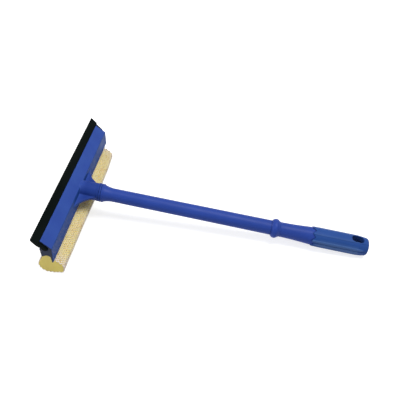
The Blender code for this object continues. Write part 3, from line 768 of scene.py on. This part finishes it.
def net_mesh(length):
    """Hexagonal meshes of thread round the foam, and the flat width of the net."""
    path = wrapped_path()
    ways = outward(path)
    steps = [(b - a).length for a, b in zip(path, path[1:])]
    lengths = np.concatenate([[0], np.cumsum(steps)])
    width = float(lengths[-1])
    columns = round(length / NET_CELL)
    rows = round(width / (NET_CELL * NET_ROW))
    shape = bmesh.new()
    verts = {}
    noise.seed_set(NET_SEED)

    def vertex(u, v):
        """A knot of the net, by halves of a mesh along the head and thirds round the foam."""
        key = (u, v)
        if key not in verts:
            along = (u / (2 * columns) - 0.5) * length
            round_foam = v / (3 * rows + 1) * width
            spot = Vector((along * NET_STRAY_SCALE, round_foam * NET_STRAY_SCALE, NET_STRAY_LEVEL))
            stray = noise.noise_vector(spot)
            distance = min(max(round_foam + NET_STRAY[0] * stray.x, 0), width)
            point = on_path(path, ways, lengths, distance, NET_OUT)
            place = Vector((point.x, along + NET_STRAY[1] * stray.y, point.y))
            verts[key] = shape.verts.new(to_world(place + given(place)))
        return verts[key]

    for row in range(rows):
        v = 3 * row
        for column in range(columns):
            u = 2 * column + (row % 2)
            if u + 2 > 2 * columns:
                continue
            corners = (
                (u + 1, v), (u + 2, v + 1), (u + 2, v + 3), (u + 1, v + 4), (u, v + 3), (u, v + 1),
            )
            shape.faces.new([vertex(*corner) for corner in corners])
    bmesh.ops.recalc_face_normals(shape, faces=shape.faces)
    mesh = mesh_of(shape, "net_wrap")
    weights = []
    for knot in mesh.vertices:
        gathered = 1 - share_of(length / 2 - abs(knot.co.y) / MM, 0.0, NET_HEM)
        weights.append(NET_THIN + (1 - NET_THIN) * gathered)
    mesh = evaluated(mesh, ("WIREFRAME", {
        "thickness": NET_STRAND * MM, "use_even_offset": True, "use_boundary": True, "offset": 0.0,
        "vertex_group": "weight", "thickness_vertex_group": 0.0,
    }), weights=weights)
    return smooth_shaded(mesh), width


def foam_mesh():
    """The foam, swollen a little below the legs and uneven as cut foam is."""
    mesh = softened("sponge_foam", *FOAM_REMAKE)
    normals = np.zeros(len(mesh.vertices) * 3, np.float32)
    mesh.vertices.foreach_get("normal", normals)
    normals = normals.reshape(-1, 3)
    turn = TOOL.to_3x3()
    for vertex in mesh.vertices:
        place = to_tool(vertex.co)
        below = share_of(LEG_TIP_Z - place.z, *FOAM_SWELL_DEPTH)
        uneven = sum(noise.noise(place * scale) * height for scale, height in FOAM_UNEVEN)
        swell = (FOAM_SWELL + uneven) * below
        vertex.co += Vector(normals[vertex.index]) * (swell * MM)
        vertex.co += turn @ given(place) * MM
    return smooth_shaded(mesh)


def rubber_mesh():
    """The blade, pushed a little towards its far end."""
    mesh = softened("blade_rubber", *RUBBER_REMAKE)
    for vertex in mesh.vertices:
        along = vertex.co.y / MM
        far = RUBBER_FAR_REACH * ramp(along, *RUBBER_END_Y)
        near = RUBBER_NEAR_TRIM * ramp(-along, *RUBBER_END_Y)
        vertex.co.y += (far + near) * MM
    return mesh


# Light, floor and camera


def shown_straight(tree):
    """1 for what the camera sees, straight or in a gloss or through glass, and 0 for lighting."""
    path = tree.nodes.new("ShaderNodeLightPath")
    largest = path.outputs["Is Camera Ray"]
    for name in ("Is Glossy Ray", "Is Transmission Ray"):
        pick = tree.nodes.new("ShaderNodeMath")
        pick.operation = "MAXIMUM"
        tree.links.new(largest, pick.inputs[0])
        tree.links.new(path.outputs[name], pick.inputs[1])
        largest = pick.outputs[0]
    return largest


def where_shown(tree, low, high, target):
    """Feeds a socket with high where it is seen straight, and low in lighting."""
    change = tree.nodes.new("ShaderNodeMapRange")
    change.inputs["To Min"].default_value = low
    change.inputs["To Max"].default_value = high
    tree.links.new(shown_straight(tree), change.inputs["Value"])
    tree.links.new(change.outputs["Result"], target)


def light_the_world(ambient):
    world = bpy.data.worlds.new("studio")
    world.use_nodes = True
    bpy.context.scene.world = world
    background = world.node_tree.nodes["Background"]
    background.inputs["Color"].default_value = (1, 1, 1, 1)
    where_shown(world.node_tree, ambient, 1.0, background.inputs["Strength"])


def soft_lamp(name, place, size, power):
    """A square lamp that looks at the middle of the table."""
    data = bpy.data.lights.new(name, "AREA")
    data.shape = "RECTANGLE"
    data.size = data.size_y = size
    data.energy = power
    lamp = bpy.data.objects.new(name, data)
    lamp.location = place
    lamp.rotation_euler = (-Vector(place)).to_track_quat("-Z", "Y").to_euler()
    bpy.context.scene.collection.objects.link(lamp)


def lay_floor(glow):
    """A pale floor that the camera sees as white, apart from the object's shadow."""
    shape = bmesh.new()
    bmesh.ops.create_grid(shape, x_segments=8, y_segments=8, size=3.0)
    mesh = mesh_of(shape, "floor")
    floor = bpy.data.objects.new("floor", mesh)
    floor.location = (0, 0, -0.0002)
    bpy.context.scene.collection.objects.link(floor)
    made = Nodes("white_floor", 0.9, specular=0.1)
    made.shader.inputs["Base Color"].default_value = (0.66, 0.66, 0.66, 1)
    made.shader.inputs["Emission Color"].default_value = (1, 1, 1, 1)
    where_shown(made.tree, 0.0, glow, made.shader.inputs["Emission Strength"])
    mesh.materials.append(made.material)


def place_camera():
    """The photograph's own viewpoint, 0.6 m away and 46 degrees above the table."""
    data = bpy.data.cameras.new("camera")
    data.sensor_width = 36
    data.lens = 45
    camera = bpy.data.objects.new("camera", data)
    right = Vector((0.98712, 0.15007, 0.05556))
    down = Vector((0.14643, -0.70712, -0.69176))
    ahead = Vector((-0.06452, 0.69099, -0.71998))
    turn = Matrix((right, -down, -ahead)).transposed().to_4x4()
    camera.matrix_world = Matrix.Translation((0.01711, -0.38923, 0.45242)) @ turn
    bpy.context.scene.collection.objects.link(camera)
    bpy.context.scene.camera = camera


# The scene

bpy.context.scene.view_settings.view_transform = "Standard"
place_camera()
light_the_world(ambient=0.28)
soft_lamp("key", place=(0.22, 0.08, 1.30), size=0.6, power=12)
soft_lamp("side", place=(-1.10, -0.35, 0.50), size=0.8, power=5)
lay_floor(glow=0.73)

# The tints on the socket and webs, on the rear faces and on the end faces are painted shade
BLUE = moulded_plastic(
    "moulded_blue", (0.025, 0.064, 0.345), 0.42, 0.10,
    (Nodes.on_head, HEAD_BLUE), (Nodes.behind_head, SOCKET_SHADE_BLUE),
    (Nodes.rear_faces, REAR_SHADE_BLUE), (Nodes.shaded_ends, END_SHADE_BLUE), dull=Nodes.rear_faces,
)
WASHER_BLUE = moulded_plastic("washer_blue", (0.022, 0.060, 0.320), 0.46, 0.10)
# The tint on the grip's rib crests is a painted highlight
GRIP_BLUE = moulded_plastic(
    "grip_blue", (0.020, 0.074, 0.295), 0.46, 0.14, (Nodes.crest_highlight, CREST_HIGHLIGHT_BLUE),
)
BLACK = rubber("black_rubber")
FOAM = open_foam("golden_foam")
NET = knitted_net("pale_net")
NYLON = nylon("white_nylon")
STEEL = plated_steel("screw_steel")

for node in ("sponge_clamp_strip", "threaded_stud"):
    NODES[node].material_slots[0].material = NYLON
for node in (
    "strip_screw_1", "strip_screw_2", "strip_screw_3", "strip_screw_4",
    "grip_screw_front", "grip_screw_rear",
):
    NODES[node].material_slots[0].material = STEEL

head = softened("head_body", *HEAD_REMAKE)
washer = turned("washer_ring", washer_profile())
tube = turned("tube_moulding", tube_profile())
new_piece("head_moulding", head, "head", BLUE, ["head_body"])
new_piece("wiper_rubber", rubber_mesh(), "blade", BLACK, ["blade_rubber"])
new_piece("washer_ring", washer, "washer", WASHER_BLUE, ["seat_washer"])
new_piece("tube_moulding", tube, "handle", BLUE, ["handle_tube"])
new_piece("guard_moulding", guard_mesh(), "handle", BLUE, ["guard_sleeve"])
for side in ("upper", "lower"):
    shell = f"grip_{side}_shell"
    moulding = f"grip_{side}_moulding"
    new_piece(moulding, grip_mesh(shell), "handle", GRIP_BLUE, [shell])

foam = new_piece("foam_block", foam_mesh(), "head", FOAM, ["sponge_foam"])
net_data, net_width = net_mesh(NET_LENGTH)
net = new_piece("net_wrap", net_data, "head", NET, ["sponge_net"])
